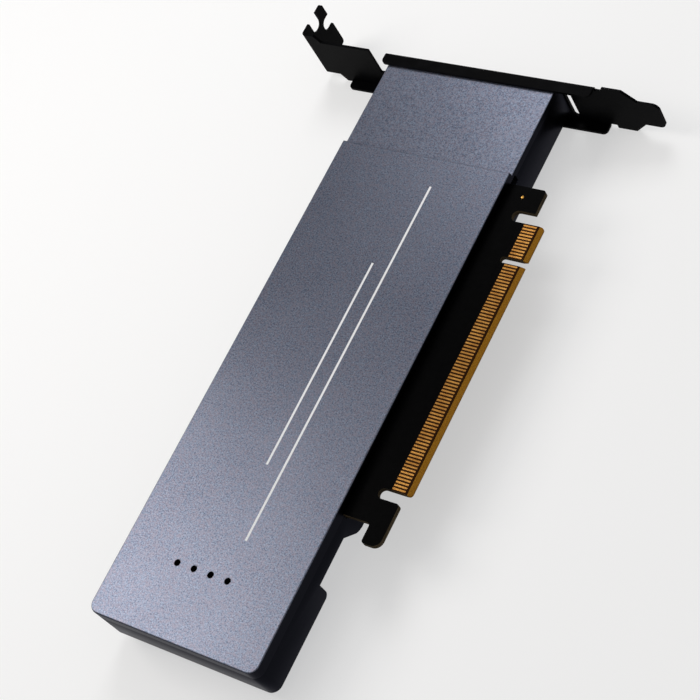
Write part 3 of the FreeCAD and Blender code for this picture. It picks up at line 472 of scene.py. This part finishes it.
def rounded_tray():
    """The tray with the corners of its latch relief rounded and all its sharp edges broken."""
    tray = bpy.data.objects.new("rounded_tray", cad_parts["front_shell"].data.copy())
    bpy.context.collection.objects.link(tray)
    only(tray)
    bpy.ops.object.mode_set(mode="EDIT")
    bpy.ops.mesh.select_all(action="SELECT")
    bpy.ops.mesh.remove_doubles(threshold=0.002 * MM)
    bpy.ops.mesh.dissolve_limited(angle_limit=math.radians(0.5))
    bpy.ops.mesh.select_mode(type="EDGE")
    bpy.ops.mesh.select_all(action="DESELECT")
    bpy.ops.object.mode_set(mode="OBJECT")
    low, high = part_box("front_shell")
    shortest, longest = 4 * MM, 6 * MM
    near = 0.1 * MM
    for edge in tray.data.edges:
        first, second = (tray.data.vertices[index].co for index in edge.vertices)
        reach = abs(first.x - second.x)
        across = abs(first.y - second.y) + abs(first.z - second.z) < 0.01 * MM
        at_wall = max(first.x, second.x) > high.x - near and shortest < reach < longest
        edge.select = across and at_wall and first.z < low.z + near
    bpy.ops.object.mode_set(mode="EDIT")
    bpy.ops.mesh.bevel(offset=RELIEF_RADIUS, segments=8, affect="EDGES")
    bpy.ops.object.mode_set(mode="OBJECT")
    break_edges(tray, 0.15 * MM, 35)
    bpy.ops.object.shade_smooth_by_angle(angle=math.radians(30))
    tray.data.materials.clear()
    tray.data.materials.append(plain_shell)
    return tray


tray = rounded_tray()
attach(tray, "root")
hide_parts("front_shell")


# ---------------------------------------------------------------- screws

black_screw = metal("blackened_steel", colour(0.035, 0.035, 0.038), colour(0.07, 0.07, 0.074), 0.32)

boxes = islands("bracket_screws")
places = [Vector(((low.x + high.x) / 2, high.y, (low.z + high.z) / 2)) for low, high in boxes]
pan_head = screw("pan_head", head_radius=2.3 * MM, head_height=1.5 * MM,
                 shank_radius=1.2 * MM, shank_length=5.86 * MM, sunk=False)
bracket_screws = set_of(pan_head, "pan_head_screws", Matrix.Rotation(math.radians(-90), 3, "X"), places)
bracket_screws.data.materials.append(black_screw)
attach(bracket_screws, "root")
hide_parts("bracket_screws")

boxes = islands("shell_screws")
places = [Vector(((low.x + high.x) / 2, (low.y + high.y) / 2, low.z)) for low, high in boxes]
length = boxes[0][1].z - boxes[0][0].z
flat_height = 0.75 * MM
flat_head = screw("flat_head", head_radius=1.9 * MM, head_height=flat_height,
                  shank_radius=0.95 * MM, shank_length=length - flat_height, sunk=True)
shell_screws = set_of(flat_head, "flat_head_screws", Matrix.Rotation(math.radians(180), 3, "X"), places)
shell_screws.data.materials.append(black_screw)
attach(shell_screws, "root")
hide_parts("shell_screws")


# ---------------------------------------------------------------- plated hole on the board's tab

rim_height = 0.04 * MM
rim_place = (35.15 * MM, 50.68 * MM, board_box[1].z + rim_height / 2)
rim_metal = metal("plated_rim", colour(0.40, 0.20, 0.042), colour(0.58, 0.32, 0.075), 0.25)

bpy.ops.mesh.primitive_cylinder_add(vertices=28, radius=0.42 * MM, depth=rim_height, location=rim_place)
plated_hole = started("plated_hole")
pick(plated_hole, lambda middle, normal: normal.z > 0.5)
bpy.ops.mesh.inset(thickness=0.18 * MM)
bpy.ops.transform.translate(value=(0, 0, -0.035 * MM))
bpy.ops.object.mode_set(mode="OBJECT")
plated_hole.data.materials.append(rim_metal)
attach(plated_hole, "root")


# ---------------------------------------------------------------- studio

def softbox(name, direction, distance, side, power, tint=(1, 1, 1)):
    """A square lamp, unseen by the camera and aimed at the origin; metres and watts."""
    light = bpy.data.lights.new(name, "AREA")
    light.color = tint
    light.shape = "SQUARE"
    light.size = side
    light.energy = power
    lamp = bpy.data.objects.new(name, light)
    lamp.visible_camera = False
    aim = Vector(direction).normalized()
    lamp.location = aim * distance
    lamp.rotation_euler = aim.to_track_quat("Z", "Y").to_euler()
    bpy.context.collection.objects.link(lamp)


def white_paper():
    """Matt white paper, lifted towards white for eye and mirror, so that its shadows stay light."""
    f = Finish("white_paper")
    f.set(Base_Color=colour(0.88, 0.88, 0.88), Roughness=0.9)
    seen = f.node("ShaderNodeLightPath", output="Is Camera Ray")
    seen = seen + f.node("ShaderNodeLightPath", output="Is Glossy Ray")
    seen = seen + f.node("ShaderNodeLightPath", output="Is Transmission Ray")
    glow = f.node("ShaderNodeEmission", {}, {"Color": colour(1, 1, 1), "Strength": 1.0})
    matt = Wire(f, f.shader.outputs[0])
    lifted = f.node("ShaderNodeMixShader", {}, {0: seen * 0.5, 1: matt, 2: glow})
    f.feed(f.tree.nodes["Material Output"].inputs["Surface"], lifted)
    return f.material


softbox("far_end_box", (-0.67, -0.10, 0.73), 0.5, 0.23, 0.96, (1.0, 0.96, 0.92))
softbox("bracket_box", (-0.20, 0.66, 0.70), 1.2, 0.45, 3.6)
softbox("seat_box", (-0.27, 0.68, 0.68), 0.36, 0.12, 0.105)
softbox("overhead_box", (-0.15, 0.1, 1.0), 1.4, 1.2, 1.2)

world = bpy.data.worlds.new("studio")
world.use_nodes = True
sky = world.node_tree.nodes["Background"]
sky.inputs["Color"].default_value = colour(1, 1, 1)
sky.inputs["Strength"].default_value = 0.36
bpy.context.scene.world = world

bpy.ops.mesh.primitive_plane_add(size=6)
floor = started("studio_floor")
floor.data.materials.append(white_paper())
floor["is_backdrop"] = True

camera_data = bpy.data.cameras.new("camera")
camera_data.lens = 96.86
camera_data.sensor_width = 36
camera_data.clip_start = 0.01
camera = bpy.data.objects.new("camera", camera_data)
eye = Vector((0.28946, -0.16821, 0.41877))
right = Vector((0.80896891, 0.43934726, -0.39056791))
up = Vector((-0.21987993, 0.84231866, 0.49208951))
back = Vector((0.54518082, -0.31220707, 0.77801325))
turn = Matrix((right, up, back)).transposed()
camera.matrix_world = Matrix.Translation(eye) @ turn.to_4x4()
bpy.context.collection.objects.link(camera)
bpy.context.scene.camera = camera
bpy.context.scene.view_settings.view_transform = "Standard"

visual_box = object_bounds()
boxes = {"cad": cad_box, "visual": visual_box}
